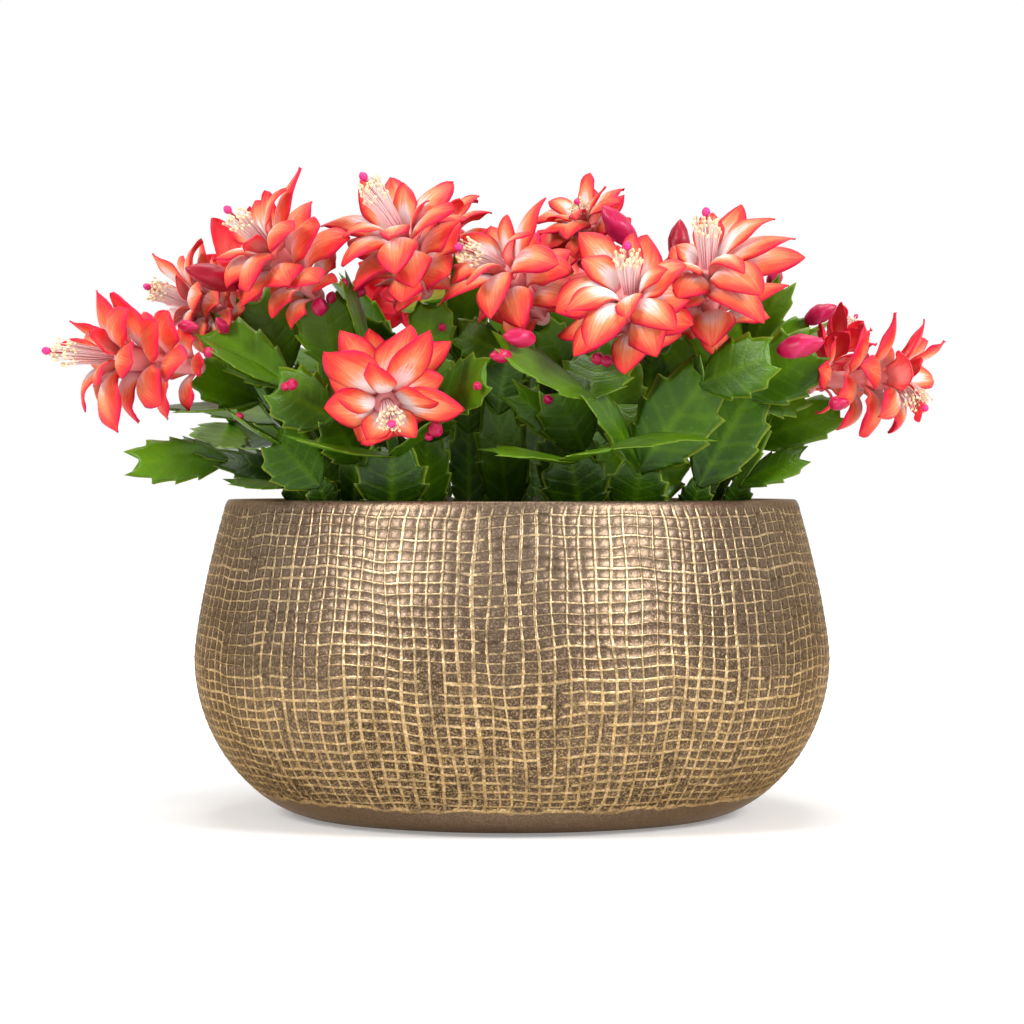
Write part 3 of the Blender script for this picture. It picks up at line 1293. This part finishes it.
def pot_material():
    """Brown-bronze glaze over a woven relief, with gold left on its threads and a smooth foot and rim."""
    n = new_material("bronze_woven_glaze")
    height_mm = n.times(n.add("SeparateXYZ", Vector=n.place()).outputs["Z"], 1000.0)
    relief = n.attribute("tone")
    from_upright = n.plus(n.attribute("along"), n.wander(n.noise(260.0, 2.0), 0.5))
    from_level = n.plus(n.attribute("edge"), n.wander(n.noise(250.0, 2.0), 0.5))
    low = n.band(height_mm, 20.0, 100.0, 1.0, 0.0)
    spread = n.plus(n.times(low, 0.28), n.wander(n.noise(45.0, 3.0), 0.55))
    upright = thread(n, from_upright, n.plus(spread, 0.25), n.plus(spread, 0.85))
    level = thread(n, from_level, n.plus(spread, 0.1), n.plus(spread, 0.7))
    level = n.times(level, n.band(n.noise(75.0, 2.0), 0.34, 0.44))
    hem_height = n.plus(n.wander(n.noise(130.0, 2.0), 6.0), WEAVE_FOOT + 0.8)
    hem = thread(n, n.math("ABSOLUTE", n.minus(height_mm, hem_height)), 0.5, 1.4)
    lines = n.most(n.times(n.most(upright, level), relief), hem)
    ditch = n.times(n.most(thread(n, from_upright, 0.5, 1.6), thread(n, from_level, 0.4, 1.3)), relief)

    grit = n.noise(1050.0, 3.0, 0.75)
    tile = n.mix(n.band(n.noise(14.0, 3.0), 0.3, 0.7), *TILE_BROWNS)
    tile = n.mix(n.times(n.band(grit, 0.50, 0.64), 0.6), tile, TILE_GRIT)
    tile = n.mix(n.times(n.band(height_mm, 70.0, 140.0), 0.3), tile, TILE_SHEEN)
    tile = n.mix(n.times(ditch, 0.5), tile, TILE_DITCH)
    dust = n.times(low, n.band(n.noise(900.0, 2.0), 0.50, 0.66))
    tile = n.mix(n.times(dust, 0.7), tile, GOLD_DUST)
    gold = n.mix(n.band(height_mm, 40.0, 130.0), GOLD_LOW, GOLD_HIGH)
    gold = n.mix(n.band(n.noise(800.0, 3.0, 0.7), 0.42, 0.62), gold, GOLD_BRIGHT)
    patina = n.band(n.noise(130.0, 3.0), 0.3, 0.6, 0.35, 1.0)
    worn = n.times(patina, n.band(grit, 0.36, 0.56, 0.6, 1.0))
    skin = n.mix(n.times(lines, worn), tile, gold)
    is_smooth = n.minus(1.0, n.most(relief, hem))
    skin = n.mix(is_smooth, skin, n.mix(n.band(grit, 0.35, 0.65), *FOOT_BROWNS))
    n.bump(n.plus(n.times(grit, 0.16), n.times(lines, 0.3)), 0.0006, 0.6)
    n.shade(Specular_Tint=GLAZE_TINT, Metallic=GLAZE_METALLIC)
    return n.shade(Base_Color=skin, Roughness=n.plus(n.times(grit, 0.20), 0.26))


# ---------------------------------------------------------------- stage, lights and camera

# Metres, radians and watts. Lamps: (place, what it aims at, width and depth, power).
FLOOR_RADIUS = 6.0
FLOOR_DROP = 0.0004
FLOOR_WHITE = 0.88
FLOOR_NEAR = 0.26
FLOOR_FAR = 1.0
FLOOR_GLOW = 0.26
WORLD_LIGHT = 0.26
SOFTBOXES = {
    "left_softbox": ((-1.10, -1.05, 0.95), (0, 0, 0.15), (0.5, 0.5), 18.0),
    "right_softbox": ((1.10, -1.05, 0.90), (0, 0, 0.15), (0.5, 0.5), 21.0),
    "top_softbox": ((0.0, 0.1, 1.9), (0, 0, 0.1), (1.0, 1.0), 19.0),
}
CAMERA_DISTANCE = 1.5
CAMERA_HEIGHT = 0.158
CAMERA_DIP = math.radians(0.615)
CAMERA_LENS_MM = 111.3
CAMERA_SENSOR_MM = 36.0


def camera_share(n):
    """1 for rays that show the stage itself or its reflection, and 0 for rays that carry its light."""
    path = n.add("LightPath").outputs
    seen = n.most(path["Is Camera Ray"], path["Is Glossy Ray"])
    return n.most(seen, path["Is Transmission Ray"])


def floor_material():
    """A white floor that keeps the object's soft shadow and, further off, meets the white background."""
    n = new_material("white_studio_floor")
    distance = n.add("VectorMath", Vector=n.place())
    distance.operation = "LENGTH"
    glow = n.band(distance.outputs["Value"], FLOOR_NEAR, FLOOR_FAR, FLOOR_GLOW, 1.0)
    n.shade(Emission_Color=WHITE, Emission_Strength=n.times(camera_share(n), glow))
    return n.shade(Base_Color=(FLOOR_WHITE,) * 3, Roughness=1.0, Specular_IOR_Level=0.0)


def build_floor():
    bpy.ops.mesh.primitive_circle_add(
        vertices=96, radius=FLOOR_RADIUS, fill_type="NGON", location=(0, 0, -FLOOR_DROP)
    )
    floor = bpy.context.object
    floor.name = "studio_floor"
    floor.data.materials.append(floor_material())


def build_world():
    world = bpy.data.worlds.new("white_studio")
    bpy.context.scene.world = world
    n = Nodes(world)
    strength = n.add("MapRange", Value=camera_share(n), To_Min=WORLD_LIGHT, To_Max=1.0)
    n.fill(n.tree.nodes["Background"], Color=WHITE, Strength=strength.outputs["Result"])


def build_lights():
    for name, (place, aim, size, watts) in SOFTBOXES.items():
        light = bpy.data.lights.new(name, "AREA")
        light.shape = "RECTANGLE"
        light.size, light.size_y = size
        light.energy = watts
        lamp = bpy.data.objects.new(name, light)
        lamp.location = place
        lamp.rotation_euler = (Vector(aim) - Vector(place)).to_track_quat("-Z", "Y").to_euler()
        bpy.context.scene.collection.objects.link(lamp)


def build_camera():
    camera = bpy.data.objects.new("camera", bpy.data.cameras.new("camera"))
    camera.data.lens = CAMERA_LENS_MM
    camera.data.sensor_width = CAMERA_SENSOR_MM
    camera.location = (0.0, -CAMERA_DISTANCE, CAMERA_HEIGHT)
    camera.rotation_euler = (math.radians(90) - CAMERA_DIP, 0.0, 0.0)
    bpy.context.scene.collection.objects.link(camera)
    bpy.context.scene.camera = camera


# ---------------------------------------------------------------- the whole scene

def main():
    roots, stems, ends = plan_stems()
    build_pot(pot_material())
    build_soil(plain_material("dark_potting_soil"), plain_material("white_perlite"))
    build_stems(roots, stems, leaf_material(), plain_material("woody_stem_foot"))
    heart_materials = [plain_material(name) for name in ("cream_anther", "crimson_style", "magenta_stigma")]
    build_flowers(ends, (petal_material(), filament_material(), *heart_materials))
    build_buds(ends, bud_material())
    build_floor()
    build_world()
    build_lights()
    build_camera()
    bpy.context.scene.view_settings.view_transform = "Standard"


main()
